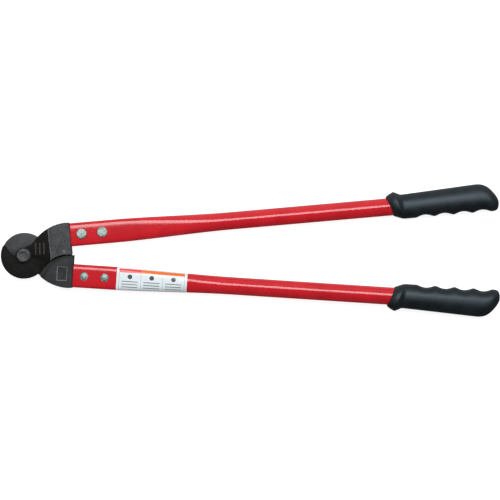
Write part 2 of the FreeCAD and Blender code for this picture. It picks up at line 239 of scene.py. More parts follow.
def scoop_shade_mask(graph, place):
    """0 at the edge of a shank's inner half along the scoop, rising to 1 a few millimetres in: the mask of the
    painted shade in the gap between the levers.
    """
    split = graph.add("ShaderNodeSeparateXYZ", {}, {0: place})
    across = split - SCOOP_CENTRE[0]
    height = (split.out(1) * split.out(1)).sqrt() - SCOOP_CENTRE[1]
    return (SCOOP_RADIUS - (across * across + height * height).sqrt()).smooth(0.8, 6.0)


def make_forged(name, dark, light, shade_scoop_edge=False):
    material, graph, shader, place = finish(name, metallic=0.3, roughness=0.65, Specular_IOR_Level=0.3)
    grain = noise(graph, place, 1.1, detail=3.0)
    cloud = noise(graph, place, 9.0, detail=4.0)
    tone = (grain * 0.7 + cloud * 0.3).smooth(0.36, 0.64)
    colour = mix(graph, tone, dark, light)
    if shade_scoop_edge:
        # Painted shade: near black along the edge of the scoop, where the gap between the levers falls in shadow.
        colour = mix(graph, scoop_shade_mask(graph, place), (0.005, 0.005, 0.005), colour)
    link(graph, colour, shader, "Base Color")
    link(graph, grain * 0.18 + 0.52, shader, "Roughness")
    bump(graph, shader, grain * 0.7 + noise(graph, place, 2.4) * 0.6, 0.12)
    return material


TICK_ROWS_X = (17.5, 23.5, 29.5)
TICK_ROW_WIDTH = 2.0
TICK_SPAN_Y = (1.9, 19.0)
TICK_PITCH, TICK_SHARE = 1.9, 0.45
STAMPED_ABOVE_SHEAR = 7.3


def stamped_rows(graph, place):
    """1 on three equal rows of evenly spaced ticks in the front blade's outer face, and 0 elsewhere."""
    split = graph.add("ShaderNodeSeparateXYZ", {}, {0: place})
    x, y, z = split, split.out(1), split.out(2)
    face = z > pivot.z / MM + STAMPED_ABOVE_SHEAR
    ticks = (y * (1 / TICK_PITCH)).math("FRACT") < TICK_SHARE
    rows = 0.0
    for at in TICK_ROWS_X:
        rows = x.between(at - TICK_ROW_WIDTH / 2, at + TICK_ROW_WIDTH / 2) + rows
    return rows * y.between(*TICK_SPAN_Y) * ticks * face


# The blacked face of the blade. The same finish is also painted shade on walls and flats in the gap between the
# levers.
def make_black_and_shade():
    material, graph, shader, place = finish("blade_black", roughness=0.55, Specular_IOR_Level=0.07)
    cloud = noise(graph, place, 6.0, detail=5.0)
    grain = noise(graph, place, 0.4)
    stamped = stamped_rows(graph, place)
    black = mix(graph, cloud.smooth(0.35, 0.7), (0.003, 0.0028, 0.0025), (0.007, 0.0062, 0.0058))
    link(graph, mix(graph, stamped * 0.5, black, (0.16, 0.14, 0.14)), shader, "Base Color")
    link(graph, cloud * 0.2 + 0.45, shader, "Roughness")
    bump(graph, shader, grain + cloud * 0.5 - stamped * 2.0, 0.035)
    return material


def make_ground():
    material, graph, shader, place = finish("blade_ground", metallic=0.6, roughness=0.5, Specular_IOR_Level=0.25)
    split = graph.add("ShaderNodeSeparateXYZ", {}, {0: place})
    x, y = split, split.out(1)
    radius = (x * x + y * y).sqrt()
    rings = graph.add("ShaderNodeTexNoise", {"noise_dimensions": "1D"},
                      {"W": radius * 3.1, "Scale": 1.0, "Detail": 3.0})
    cloud = noise(graph, place, 7.0, detail=3.0)
    tone = (rings * 0.45 + cloud * 0.55).smooth(0.3, 0.7)
    link(graph, mix(graph, tone, (0.021, 0.0218, 0.023), (0.046, 0.047, 0.049)), shader, "Base Color")
    link(graph, cloud * 0.16 + 0.44, shader, "Roughness")
    bump(graph, shader, rings, 0.02)
    return material


def make_rubbed():
    material, graph, shader, place = finish("edge_rubbed", metallic=0.7, roughness=0.4)
    wear = noise(graph, place, 3.0, detail=4.0).smooth(0.42, 0.62)
    link(graph, mix(graph, wear, (0.03, 0.03, 0.031), (0.09, 0.091, 0.094)), shader, "Base Color")
    return material


forged_phosphate = make_forged("forged_phosphate", (0.023, 0.0243, 0.0257), (0.069, 0.0715, 0.0745))
# The inner half of a shank, with painted shade along its scooped edge.
forged_inner = make_forged("forged_inner", (0.0105, 0.0112, 0.012), (0.0285, 0.0305, 0.032), shade_scoop_edge=True)
# Painted highlight on the step, the pocket's sides and the test mark, where they catch the light.
step_edge = make_forged("step_edge", (0.11, 0.113, 0.117), (0.24, 0.245, 0.25))
blade_black = make_black_and_shade()
blade_ground = make_ground()
edge_rubbed = make_rubbed()
LEVER_FINISHES = [forged_phosphate, blade_black, blade_ground, edge_rubbed, forged_inner, step_edge]
print("lever finishes", [m.name for m in LEVER_FINISHES])

# %% [markdown]
# ### Enamel, rubber, zinc, black oxide, nylon
# The tubes are dipped in a glossy red enamel, which flows to a slight orange peel under a clear, hard shine. The
# grips are black vinyl rubber with a soft sheen and a very fine moulded grain. Rivets are zinc plated, mottled
# where they were struck. The bolt, washers and nut are blacked steel, and the nut's locking ring is pale nylon.


# %% Other finishes
def make_enamel():
    material, graph, shader, place = finish("red_enamel", roughness=0.4, Specular_IOR_Level=0.0, Coat_Weight=1.0,
                                            Coat_Roughness=0.12)
    flow = noise(graph, place, 5.0, detail=1.0, stretch=(3, 1, 1))
    cloud = noise(graph, place, 30.0, detail=2.0)
    link(graph, mix(graph, cloud.smooth(0.3, 0.7), (0.46, 0.009, 0.016), (0.52, 0.012, 0.02)),
         shader, "Base Color")
    bump(graph, shader, flow, 0.004)
    return material


def make_rubber():
    # The blue specular tint is painted reflection: it gives the sheen the cool colour of the light it reflects.
    material, graph, shader, place = finish("grip_rubber", roughness=0.5, Specular_Tint=(0.72, 0.88, 1.0, 1))
    grain = noise(graph, place, 0.5, detail=2.0)
    cloud = noise(graph, place, 14.0, detail=3.0)
    link(graph, mix(graph, cloud.smooth(0.3, 0.7), (0.003, 0.005, 0.006), (0.006, 0.009, 0.011)),
         shader, "Base Color")
    link(graph, cloud * 0.12 + 0.42, shader, "Roughness")
    bump(graph, shader, grain, 0.03)
    return material


def make_zinc():
    material, graph, shader, place = finish("zinc_plate", metallic=0.9, roughness=0.6)
    spangle = noise(graph, place, 2.2, detail=4.0)
    link(graph, mix(graph, spangle.smooth(0.35, 0.65), (0.15, 0.19, 0.178), (0.42, 0.48, 0.465)),
         shader, "Base Color")
    link(graph, spangle * 0.2 + 0.48, shader, "Roughness")
    bump(graph, shader, spangle, 0.05)
    return material


def make_black_oxide():
    material, graph, shader, place = finish("black_oxide", metallic=0.7, roughness=0.4)
    cloud = noise(graph, place, 2.5, detail=4.0)
    link(graph, mix(graph, cloud.smooth(0.35, 0.65), (0.028, 0.029, 0.031), (0.062, 0.064, 0.067)),
         shader, "Base Color")
    link(graph, cloud * 0.2 + 0.38, shader, "Roughness")
    bump(graph, shader, noise(graph, place, 0.5), 0.02)
    return material


def make_nylon():
    material, graph, shader, place = finish("nylon", roughness=0.5, Subsurface_Weight=0.1)
    cloud = noise(graph, place, 3.0)
    link(graph, mix(graph, cloud, (0.6, 0.61, 0.58), (0.75, 0.76, 0.72)), shader, "Base Color")
    return material


red_enamel = make_enamel()
grip_rubber = make_rubber()
zinc_plate = make_zinc()
black_oxide = make_black_oxide()
nylon = make_nylon()
print("other finishes", [m.name for m in (red_enamel, grip_rubber, zinc_plate, black_oxide, nylon)])


# %% [markdown]
# ## Making meshes
# Many pieces here are a row of closed rings joined one to the next: washers and rivets, whose rings are circles,
# the bolt's head, whose rings turn from circles into hexagons, and the grip, whose rings follow a hand. One helper
# joins the rings and closes both ends, and another joins the last ring to the first, for a piece with a hole. A
# third finishes any piece: it gives the material, sets smooth shading with crisp edges, moves the piece into the
# tool's frame, and says which body it rides on.


# %% Mesh helpers
def ring_mesh(name, rings):
    """A closed mesh through rings of equally many points, closed at both ends by a fan."""
    rings = [np.asarray(ring, float) for ring in rings]
    count = len(rings[0])
    mesh = bmesh.new()
    rows = [[mesh.verts.new(p) for p in ring] for ring in rings]
    for low, high in zip(rows, rows[1:]):
        for i in range(count):
            j = (i + 1) % count
            mesh.faces.new((low[i], low[j], high[j], high[i]))
    for row, ring in ((rows[0], rings[0]), (rows[-1], rings[-1])):
        centre = mesh.verts.new(ring.mean(0))
        for i in range(count):
            mesh.faces.new((row[i], row[(i + 1) % count], centre))
    bmesh.ops.remove_doubles(mesh, verts=mesh.verts, dist=1e-4)
    bmesh.ops.recalc_face_normals(mesh, faces=mesh.faces)
    data = bpy.data.meshes.new(name)
    mesh.to_mesh(data)
    mesh.free()
    return data


def hollow_mesh(name, rings):
    """A closed mesh with a hole through it: the last ring is joined to the first."""
    count = len(rings[0])
    mesh = bmesh.new()
    rows = [[mesh.verts.new(p) for p in ring] for ring in rings]
    for low, high in zip(rows, rows[1:] + rows[:1]):
        for i in range(count):
            j = (i + 1) % count
            mesh.faces.new((low[i], low[j], high[j], high[i]))
    bmesh.ops.recalc_face_normals(mesh, faces=mesh.faces)
    data = bpy.data.meshes.new(name)
    mesh.to_mesh(data)
    mesh.free()
    return data


def new_object(name, data):
    made = bpy.data.objects.new(name, data)
    bpy.context.scene.collection.objects.link(made)
    return made


def baked(made):
    """The object's mesh with its modifiers applied, as a plain mesh."""
    graph = bpy.context.evaluated_depsgraph_get()
    data = bpy.data.meshes.new_from_object(made.evaluated_get(graph))
    made.modifiers.clear()
    made.data = data
    return made


def smooth_by_angle(data, degrees):
    """Smooth shading, except across edges sharper than this."""
    data.shade_smooth()
    mesh = bmesh.new()
    mesh.from_mesh(data)
    for edge in mesh.edges:
        edge.smooth = len(edge.link_faces) != 2 or edge.calc_face_angle(0) < math.radians(degrees)
    mesh.to_mesh(data)
    mesh.free()


def finished(made, matrix, body, replaced, materials=None, sharp=35):
    """Places a piece, gives it its finish and body, and lets it stand for its CAD nodes."""
    made.data.transform(matrix)
    if materials:
        made.data.materials.clear()
        for material in materials:
            made.data.materials.append(material)
    smooth_by_angle(made.data, sharp)
    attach(made, body)
    if replaced:
        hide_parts(*replaced)
    print(made.name, len(made.data.polygons), "faces, rides on", body)
    return made


# %% [markdown]
# ## The jaw levers
# The forging's outline, step, pocket and rounded edges are already right in the CAD solid, so the lever is a
# merged copy of its mesh rather than a new drawing. What the copy adds is what a forge and a grinder leave: every
# sharp edge gets a fine bevel, so that it catches the light, and the faces are sorted into blasted, blacked and
# ground ones by where they lie in the arm's frame. Some faces are also given painted highlight or painted shade:
# the step, the pocket's sides and the test mark are lighter, and walls and flats in the gap between the levers
# take the black finish. The copy also closes two narrow gaps that the CAD solids have: the slit between the lugs,
# and the one between the cutting edges at the throat.

# %% Jaw levers
STEP_U, STEP_V = 39.7, 12       # where the step crosses this far to the side of the lever's axis
STEP_SLOPE = 0.0227
NECK_U = 24
POCKET_U, POCKET_V, POCKET_SIDE_Z = (48.5, 65.5), (11, 33.5), (-8.95, -8.05)
TEST_MARK, TEST_MARK_R, TEST_MARK_Z = (59.0, 1.9), 1.6, (8.3, 8.98)
HALF_CLOSED_ANGLE = 4.35        # each arm's angle to the middle line, in degrees
MIDDLE_SLOPE = math.tan(math.radians(HALF_CLOSED_ANGLE))
LUG_CLEARANCE = 0.02            # what is left of the slit on each side of the middle line
THROAT_SHIFT = 0.85
FORGED, BLACKED_AND_SHADE, GROUND, RUBBED, INNER_AND_SHADE, STEP_HIGHLIGHT = range(6)


def lever_finish_at(centre, normal):
    """Which finish a lever's face has, from its middle and its direction in the arm's frame."""
    def within(value, limits):
        return limits[0] < value < limits[1]

    step = STEP_U - STEP_SLOPE * (centre.y - STEP_V)
    if normal.z < -0.8 and -1 < centre.z < 1 and centre.x < 60:
        return GROUND
    on_step = 7.4 < centre.z < 9.1 and step - 2.6 < centre.x < step + 0.6
    # The step's sloping face gets the painted highlight.
    if on_step and 0.4 < normal.z < 0.9 and normal.x < -0.3:
        return STEP_HIGHLIGHT
    in_pocket = within(centre.x, POCKET_U) and within(centre.y, POCKET_V)
    on_pocket_side = in_pocket and within(centre.z, POCKET_SIDE_Z) and abs(normal.z) < 0.9
    from_mark = math.hypot(centre.x - TEST_MARK[0], centre.y - TEST_MARK[1])
    in_test_mark = from_mark < TEST_MARK_R and within(centre.z, TEST_MARK_Z)
    # The pocket's sides and the test mark get the same painted highlight.
    if on_pocket_side or in_test_mark:
        return STEP_HIGHLIGHT
    if centre.z > 0 and (centre.x < step - 1.4 or centre.z < 7.4 and centre.x < step):
        back_of_neck = normal.y > 0.3 and centre.x > NECK_U
        return FORGED if back_of_neck else BLACKED_AND_SHADE
    # Walls facing the other lever below the middle line, and flats at the shear plane, get the black finish as
    # painted shade.
    in_shear_plane = abs(centre.z) < 1 and abs(normal.z) > 0.5
    if normal.y < -0.3 and centre.y < 0 or in_shear_plane:
        return BLACKED_AND_SHADE
    return INNER_AND_SHADE if centre.z < -1 else FORGED


def close_gaps(mesh):
    """Brings the lugs together on the middle line, and the cutting edges at the throat."""
    for vertex in mesh.verts:
        place = vertex.co
        above_middle = place.y + place.x * MIDDLE_SLOPE
        if place.x > 50 and 0.1 < above_middle < 0.3:
            place.y -= above_middle - LUG_CLEARANCE
        if -15 < place.x < -11 and -0.5 < place.y < 1:
            place.y += THROAT_SHIFT


def make_lever(arm, node):
    matrix = arm_matrix(arm)
    mesh = bmesh.new()
    mesh.from_mesh(frame["nodes"][node].data)
    mesh.transform(matrix.inverted())
    bmesh.ops.remove_doubles(mesh, verts=mesh.verts, dist=1e-3)
    close_gaps(mesh)
    bmesh.ops.dissolve_limit(mesh, angle_limit=math.radians(0.4), verts=mesh.verts, edges=mesh.edges)
    for face in mesh.faces:
        face.material_index = lever_finish_at(face.calc_center_median(), face.normal)
    data = bpy.data.meshes.new(node + "_forging")
    mesh.to_mesh(data)
    mesh.free()
    made = new_object(node + "_forging", data)
    for material in LEVER_FINISHES:
        data.materials.append(material)
    edge = made.modifiers.new("edge", "BEVEL")
    edge.width, edge.segments, edge.use_clamp_overlap = 0.22, 2, True
    edge.limit_method, edge.angle_limit, edge.material = "ANGLE", math.radians(38), RUBBED
    baked(made)
    return finished(made, matrix, ARMS[arm], [node], sharp=30)


make_lever("upper", "front_lever")
make_lever("lower", "rear_lever")

# %% [markdown]
# ## The handle tubes
# A round tube is pressed oval at one end to grip the lever's tongue. Its girth stays the same, so as the tube
# gets thinner it gets wider. That rule is all the shape there is, which suits Geometry Nodes: a flat grid is
# wrapped into the tube, with each row's thickness read from its place along the handle, and the height worked out
# from the girth. The same tree makes the label, as a patch of the same surface lying a hair outside it.

# %% Tube tree
TUBE_R = (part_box("upper_handle_tube")[1].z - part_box("upper_handle_tube")[0].z) / 2 / MM
WALL = 1.8
PRESSED_HALF = 5.3
SHOULDER_U = {"upper": 69.5, "lower": 72.3}
PRESSED_UNTIL_U = {"upper": 131.0, "lower": 116.0}
ROUND_FROM_U = 305.0
TUBE_END_U = 678.0
CROWN = 0.2                     # how far the pressed sides bulge, from 0 flat to 1 nearly elliptical


def new_tree(name, sockets):
    """A geometry tree with these named inputs, its graph, and a function that reads an input."""
    tree = bpy.data.node_groups.new(name, "GeometryNodeTree")
    for label, kind, default in sockets:
        socket = tree.interface.new_socket(name=label, in_out="INPUT", socket_type=kind)
        if default is not None:
            socket.default_value = default
    tree.interface.new_socket(name="Geometry", in_out="OUTPUT", socket_type="NodeSocketGeometry")
    graph = Graph(tree)
    entry = graph.add("NodeGroupInput")
    return tree, graph, entry.out


def end_tree(graph, geometry, material):
    """Ends a tree with real geometry that has its material."""
    real = graph.add("GeometryNodeRealizeInstances", {}, {"Geometry": geometry})
    done = graph.add("GeometryNodeSetMaterial", {}, {"Geometry": real, "Material": material})
    graph.tree.links.new(done.socket, graph.tree.nodes.new("NodeGroupOutput").inputs["Geometry"])


def make_tube_tree():
    number, whole = "NodeSocketFloat", "NodeSocketInt"
    tree, graph, read = new_tree("pressed_tube", [
        ("Start", number, 70.0), ("End", number, TUBE_END_U), ("Axis offset", number, handle_v),
        ("Pressed until", number, 130.0), ("Round from", number, ROUND_FROM_U), ("Radius", number, TUBE_R),
        ("Pressed half thickness", number, PRESSED_HALF), ("Crown", number, CROWN), ("Grow", number, 0.0),
        ("From angle", number, 0.0), ("To angle", number, 2 * math.pi), ("Rows", whole, 240),
        ("Columns", whole, 97), ("Material", "NodeSocketMaterial", None)])
    grid = graph.add("GeometryNodeMeshGrid", {}, {"Size X": 1.0, "Size Y": 1.0, "Vertices X": read("Rows"),
                                                  "Vertices Y": read("Columns")})
    place = graph.add("ShaderNodeSeparateXYZ", {}, {0: graph.add("GeometryNodeInputPosition")})
    along, around = place + 0.5, place.out(1) + 0.5
    u = read("Start") + along * (read("End") - read("Start"))
    angle = read("From angle") + around * (read("To angle") - read("From angle"))
    c, s = angle.math("COSINE"), angle.math("SINE")
    eased = u.smooth(read("Pressed until"), read("Round from"))
    half = read("Pressed half thickness") + (read("Radius") - read("Pressed half thickness")) * eased
    spread = (read("Radius") - half) * (math.pi / 2)
    crown = read("Crown") * read("Crown")
    v = (half + read("Grow")) * c + spread * c * ((crown + 1) / (c * c + crown)).sqrt()
    point = graph.add("ShaderNodeCombineXYZ", {}, {"X": u, "Y": read("Axis offset") + v,
                                                   "Z": (half + read("Grow")) * s})
    wrapped = graph.add("GeometryNodeSetPosition", {}, {"Geometry": grid, "Position": point})
    closed = graph.add("GeometryNodeMergeByDistance", {}, {"Geometry": wrapped, "Distance": 0.001})
    end_tree(graph, closed, read("Material"))
    return tree


tube_tree = make_tube_tree()
print("tube tree has", len(tube_tree.nodes), "nodes")


# %% Tubes
def run_tree(name, tree, **values):
    """A new object whose mesh the tree makes; an input's spaces are written as underscores."""
    made = new_object(name, bpy.data.meshes.new(name))
    modifier = made.modifiers.new("nodes", "NODES")
    modifier.node_group = tree
    for item in tree.interface.items_tree:
        key = item.name.replace(" ", "_")
        if item.in_out == "INPUT" and key in values:
            modifier[item.identifier] = values.pop(key)
    if values:
        raise ValueError("the tree has no input for " + ", ".join(values))
    return baked(made)


def outward(data):
    mesh = bmesh.new()
    mesh.from_mesh(data)
    bmesh.ops.recalc_face_normals(mesh, faces=mesh.faces)
    mesh.to_mesh(data)
    mesh.free()


def make_tube(arm):
    made = run_tree(arm + "_tube", tube_tree, Start=SHOULDER_U[arm], Pressed_until=PRESSED_UNTIL_U[arm],
                    Material=red_enamel)
    outward(made.data)
    centre = Vector((SHOULDER_U[arm] + 20, handle_v, 0))
    probe = min(made.data.polygons, key=lambda f: (f.center - centre - Vector((0, 0, PRESSED_HALF))).length)
    if probe.normal.z < 0:
        made.data.flip_normals()
    wall = made.modifiers.new("wall", "SOLIDIFY")
    wall.thickness, wall.offset, wall.use_even_offset = WALL, -1, True
    rim = made.modifiers.new("rim", "BEVEL")
    rim.width, rim.segments, rim.limit_method, rim.angle_limit = 0.35, 2, "ANGLE", math.radians(60)
    baked(made)
    return finished(made, arm_matrix(arm), ARMS[arm], [arm + "_handle_tube"], [red_enamel])


for arm in ARMS:
    make_tube(arm)

# %% [markdown]
# ## The label
# A printed film is wrapped over the lower handle. Its print is a plain pattern without words or pictures: a bare
# coloured header, three equal panels, and in each a dot over three ruled lines. The tube's tree gives the patch,
# and its rows are measured along the surface, so that the print keeps its size as the tube turns from oval to
# round.

# %% Label film
LABEL_U = (136.0, 238.6)
LABEL_ROWS, LABEL_COLUMNS = 60, 121
LABEL_GROW = 0.12
LABEL_PANELS = ((3.6, 35.2), (35.2, 66.9), (66.9, 98.6))
LABEL_HEADER = (-15.2, -9.4)
LABEL_FOOT = 15.4
LABEL_LINES = (3.4, 7.4, 11.4)
LABEL_DOT_AT, LABEL_DOT_R = -3.6, 3.4
LABEL_LINE_HALF, LABEL_RULE_HALF, LABEL_MARGIN = 0.6, 0.22, 4
LABEL_FRAME, LABEL_INK, LABEL_GREY = (0.2, 0.225, 0.24), (0.03, 0.034, 0.037), (0.13, 0.145, 0.155)


def make_label_material():
    material, graph, shader, place = finish("label_film", roughness=0.3, Coat_Weight=0.25, Coat_Roughness=0.15)
    spot = graph.add("ShaderNodeAttribute", {"attribute_name": "print_mm"}, output="Vector")
    spot = graph.add("ShaderNodeSeparateXYZ", {}, {0: spot})
    x, y = spot, spot.out(1)

    def box(x0, x1, y0, y1):
        return x.between(x0, x1) * y.between(y0, y1)

    def disc(cx, cy, radius):
        a, b = x - cx, y - cy
        return (a * a + b * b) < radius * radius

    dirt = noise(graph, place, 12.0, detail=3.0)
    colour = mix(graph, dirt, (0.6, 0.67, 0.7), (0.7, 0.76, 0.79))
    for left, right in LABEL_PANELS:
        dot = disc((left + right) / 2, LABEL_DOT_AT, LABEL_DOT_R)
        colour = mix(graph, dot, colour, LABEL_INK)
        for at in LABEL_LINES:
            line = box(left + LABEL_MARGIN, right - LABEL_MARGIN, at - LABEL_LINE_HALF, at + LABEL_LINE_HALF)
            colour = mix(graph, line, colour, LABEL_GREY)
        for edge in (left, right):
            rule = box(edge - LABEL_RULE_HALF, edge + LABEL_RULE_HALF, LABEL_HEADER[0], LABEL_FOOT)
            colour = mix(graph, rule, colour, LABEL_FRAME)
    (start, parting), end = LABEL_PANELS[0], LABEL_PANELS[-1][1]
    colour = mix(graph, box(start, end, LABEL_FOOT - 0.2, LABEL_FOOT + 0.25), colour, LABEL_FRAME)
    colour = mix(graph, box(start, parting, *LABEL_HEADER), colour, (0.72, 0.035, 0.035))
    colour = mix(graph, box(parting, end, *LABEL_HEADER), colour, (0.7, 0.15, 0.02))
    link(graph, colour, shader, "Base Color")
    return material


def make_label():
    overhang = math.radians(26)
    made = run_tree("info_label", tube_tree, Start=LABEL_U[0], End=LABEL_U[1], Grow=LABEL_GROW,
                    Pressed_until=PRESSED_UNTIL_U["lower"], Rows=LABEL_ROWS, Columns=LABEL_COLUMNS,
                    From_angle=-math.pi - overhang, To_angle=overhang, Material=red_enamel)
    places = np.zeros(len(made.data.vertices) * 3, np.float32)
    made.data.vertices.foreach_get("co", places)
    rows = places.reshape(LABEL_ROWS, LABEL_COLUMNS, 3)
    steps = np.linalg.norm(np.diff(rows, axis=1), axis=2)
    run = np.concatenate([np.zeros((LABEL_ROWS, 1)), np.cumsum(steps, axis=1)], axis=1)
    marks = np.zeros((LABEL_ROWS, LABEL_COLUMNS, 3), np.float32)
    marks[..., 0] = rows[..., 0] - LABEL_U[0]
    marks[..., 1] = run - run[:, -1:] / 2
    field = made.data.attributes.new("print_mm", "FLOAT_VECTOR", "POINT")
    field.data.foreach_set("vector", marks.ravel())
    outward(made.data)
    if made.data.polygons[len(made.data.polygons) // 2].normal.z > 0:
        made.data.flip_normals()
    film = made.modifiers.new("film", "SOLIDIFY")
    film.thickness, film.offset = LABEL_GROW - 0.02, -1
    baked(made)
    return finished(made, arm_matrix("lower"), "lower_arm", ["handle_label"],
                    [make_label_material()])


make_label()

# %% [markdown]
# ## The grips
# A grip is moulded round the tube: a sloping collar keeps the hand from slipping forward, the palm side is a
# long plain swell, the finger side has four scallops, and the end is a full round knob. It is lofted through
# slanting rings. A few stations say where the outer and inner edge of each ring lie and how thick it is, smooth
# curves run through the stations, and the scallops are pressed into the finger side by their own rule.

# %% Grip rings
GRIP_STATIONS = [               # outer u, outer offset, inner u, inner offset, half thickness
    (530.0, 14.5, 539.4, -13.6, 14.2), (532.6, 16.7, 541.0, -14.4, 16.2), (537.0, 19.3, 544.2, -15.6, 18.6),
    (540.3, 20.8, 547.2, -16.8, 19.7), (541.9, 20.8, 549.4, -17.6, 19.9), (544.3, 19.8, 551.4, -18.3, 19.2),
    (548.6, 17.6, 554.2, -18.8, 17.0), (551.2, 16.5, 556.8, -18.9, 15.9), (555.0, 16.4, 560.4, -18.9, 15.7),
    (566.0, 16.9, 569.0, -18.9, 15.9), (590.0, 18.1, 590.6, -18.9, 16.4), (630.0, 20.1, 630.0, -18.9, 16.5),
    (655.0, 21.4, 655.0, -18.9, 16.4), (664.6, 21.5, 666.6, -18.9, 16.2), (672.2, 19.9, 675.6, -19.0, 15.9),
    (678.8, 16.0, 683.0, -19.1, 14.8), (684.6, 9.8, 688.6, -18.0, 12.0), (689.4, 3.0, 691.4, -14.4, 8.4),
    (691.8, -2.2, 692.4, -10.0, 4.4), (692.6, -4.6, 692.7, -7.4, 1.6)]
GRIP_COLUMNS = 112
FIRST_CREST_U = 570.6
FINGER_PITCH = 27.8
FINGER_DEPTH = 3.3
CREST_BLUNTNESS = 0.24
FINGERS_END_U = 681.8


def through(stations, per_step):
    """A smooth curve through the stations, with this many points for each step."""
    points = np.array([stations[0], *stations, stations[-1]], float)
    out = []
    for i in range(1, len(points) - 2):
        before, a, b, after = points[i - 1:i + 3]
        for t in np.linspace(0, 1, per_step, endpoint=False):
            out.append(0.5 * (2 * a + (b - before) * t + (2 * before - 5 * a + 4 * b - after) * t ** 2
                              + (3 * a - before - 3 * b + after) * t ** 3))
    return np.array(out + [points[-2]])


def scallop(u):
    """How deep the finger side is pressed in at u, from 0 on a crest to 1 in a valley."""
    inside = (u > FIRST_CREST_U) & (u < FINGERS_END_U)
    wave = np.sin(np.pi * (u - FIRST_CREST_U) / FINGER_PITCH)
    full = math.hypot(1, CREST_BLUNTNESS) - CREST_BLUNTNESS
    rise = (np.hypot(wave, CREST_BLUNTNESS) - CREST_BLUNTNESS) / full
    return np.where(inside, rise, 0.0)


def grip_rings():
    angles = np.linspace(0, 2 * math.pi, GRIP_COLUMNS, endpoint=False)
    c, s = np.cos(angles), np.sin(angles)
    fullness = 0.93
    c_full, s_full = np.sign(c) * np.abs(c) ** fullness, np.sign(s) * np.abs(s) ** fullness
    fingers = np.clip(-c, 0, 1) ** 2.2
    parting = 0.16 * np.exp(-((1 - np.abs(c)) / 0.0006))
    rings = []
    for radius, u in ((TUBE_R - 0.2, TUBE_END_U), (TUBE_R - 0.2, 560.0), (TUBE_R - 0.2, 536.0)):
        slope = 0 if u > 550 else 9.4 / 28
        rings.append(np.stack([u - slope * radius * c + 0 * s, handle_v + radius * c, radius * s], axis=1))
    lip = rings[-1].copy()
    lip[:, 0] -= 1.0
    rings.append(lip)
    rows = through(GRIP_STATIONS, 7)
    lengths = np.concatenate([[0], np.cumsum(np.linalg.norm(np.diff(rows[:, :2], axis=0), axis=1))])
    even = np.linspace(0, lengths[-1], int(lengths[-1] / 0.8))
    rows = np.stack([np.interp(even, lengths, rows[:, k]) for k in range(5)], axis=1)
    for outer_u, outer, inner_u, inner, half in rows:
        middle_u, middle_v = (outer_u + inner_u) / 2, (outer + inner) / 2
        reach_u, reach_v = (outer_u - inner_u) / 2, (outer - inner) / 2
        u = middle_u + reach_u * c_full
        press = FINGER_DEPTH * scallop(u) * fingers
        edge = parting * min(1.0, half / 10)
        v = middle_v + (reach_v + edge) * c_full + press
        z = half * s_full * (1 - 0.05 * scallop(u) * fingers)
        rings.append(np.stack([u, handle_v + v, z], axis=1))
    return rings


def make_grip(arm):
    made = new_object(arm + "_finger_grip", ring_mesh(arm + "_finger_grip", grip_rings()))
    return finished(made, arm_matrix(arm), ARMS[arm], [arm + "_grip"], [grip_rubber], sharp=60)


for arm in ARMS:
    make_grip(arm)

# %% [markdown]
# ## Rivets
# Each handle is held by two steel rivets with a large, flat head on one side and a small, domed tail on the
# other. The two are the same rivet at two places, so one lathe-turned form is made, and a tree instances it along
# the handle.

# %% Rivets
SEAT = PRESSED_HALF


def rivet_u(arm, number):
    """Where a CAD rivet stands along its handle."""
    low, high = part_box(arm + "_rivet_" + str(number))
    return (arm_matrix(arm).inverted() @ ((low + high) / 2)).x


def turned_ring(radius, z, columns=72):
    angles = np.linspace(0, 2 * math.pi, columns, endpoint=False)
    return np.stack([radius * np.cos(angles), radius * np.sin(angles), np.full(columns, z)], axis=1)


def rivet_form():
    """Head up, tail down: outlines as (radius, height) pairs from the head's crown to the tail's."""
    head = [(0.3, 2.1), (3.0, 2.12), (5.6, 2.02), (6.7, 1.86), (7.3, 1.5), (7.62, 1.0), (7.68, 0.5), (7.6, 0.1),
            (7.4, -0.7), (4.0, -0.9)]
    tail_radius, tail_height = 6.2, 1.9
    ball = (tail_radius ** 2 + tail_height ** 2) / (2 * tail_height)
    widest = math.asin(tail_radius / ball)
    tail = [(4.0, 0.8), (tail_radius - 0.3, 0.7), (tail_radius, 0.3)]
    tail += [(ball * math.sin(widest * t), ball * (math.cos(widest * t) - 1) + tail_height)
             for t in np.linspace(0.96, 0.03, 12)]
    rings = [turned_ring(r, SEAT + z) for r, z in head]
    rings += [turned_ring(r, -SEAT - z + (1.5 if i == 0 else 0)) for i, (r, z) in enumerate(tail)]
    return rings


def make_rivet_tree():
    tree, graph, read = new_tree("rivet_row", [
        ("Form", "NodeSocketObject", None), ("First", "NodeSocketFloat", 86.0),
        ("Pitch", "NodeSocketFloat", 30.0), ("Count", "NodeSocketInt", 2),
        ("Axis offset", "NodeSocketFloat", handle_v), ("Material", "NodeSocketMaterial", None)])
    start = graph.add("ShaderNodeCombineXYZ", {}, {"X": read("First"), "Y": read("Axis offset")})
    step = graph.add("ShaderNodeCombineXYZ", {}, {"X": read("Pitch")})
    row = graph.add("GeometryNodeMeshLine", {}, {"Count": read("Count"), "Start Location": start,
                                                 "Offset": step})
    form = graph.add("GeometryNodeObjectInfo", {}, {"Object": read("Form")}, output="Geometry")
    turn = graph.add("FunctionNodeRandomValue", {"data_type": "FLOAT"}, {"Min": 0.0, "Max": 6.2, "Seed": 4},
                     output=1)
    tilt = graph.add("ShaderNodeCombineXYZ", {}, {"Z": turn})
    rivets = graph.add("GeometryNodeInstanceOnPoints", {}, {"Points": row, "Instance": form, "Rotation": tilt})
    end_tree(graph, rivets, read("Material"))
    return tree


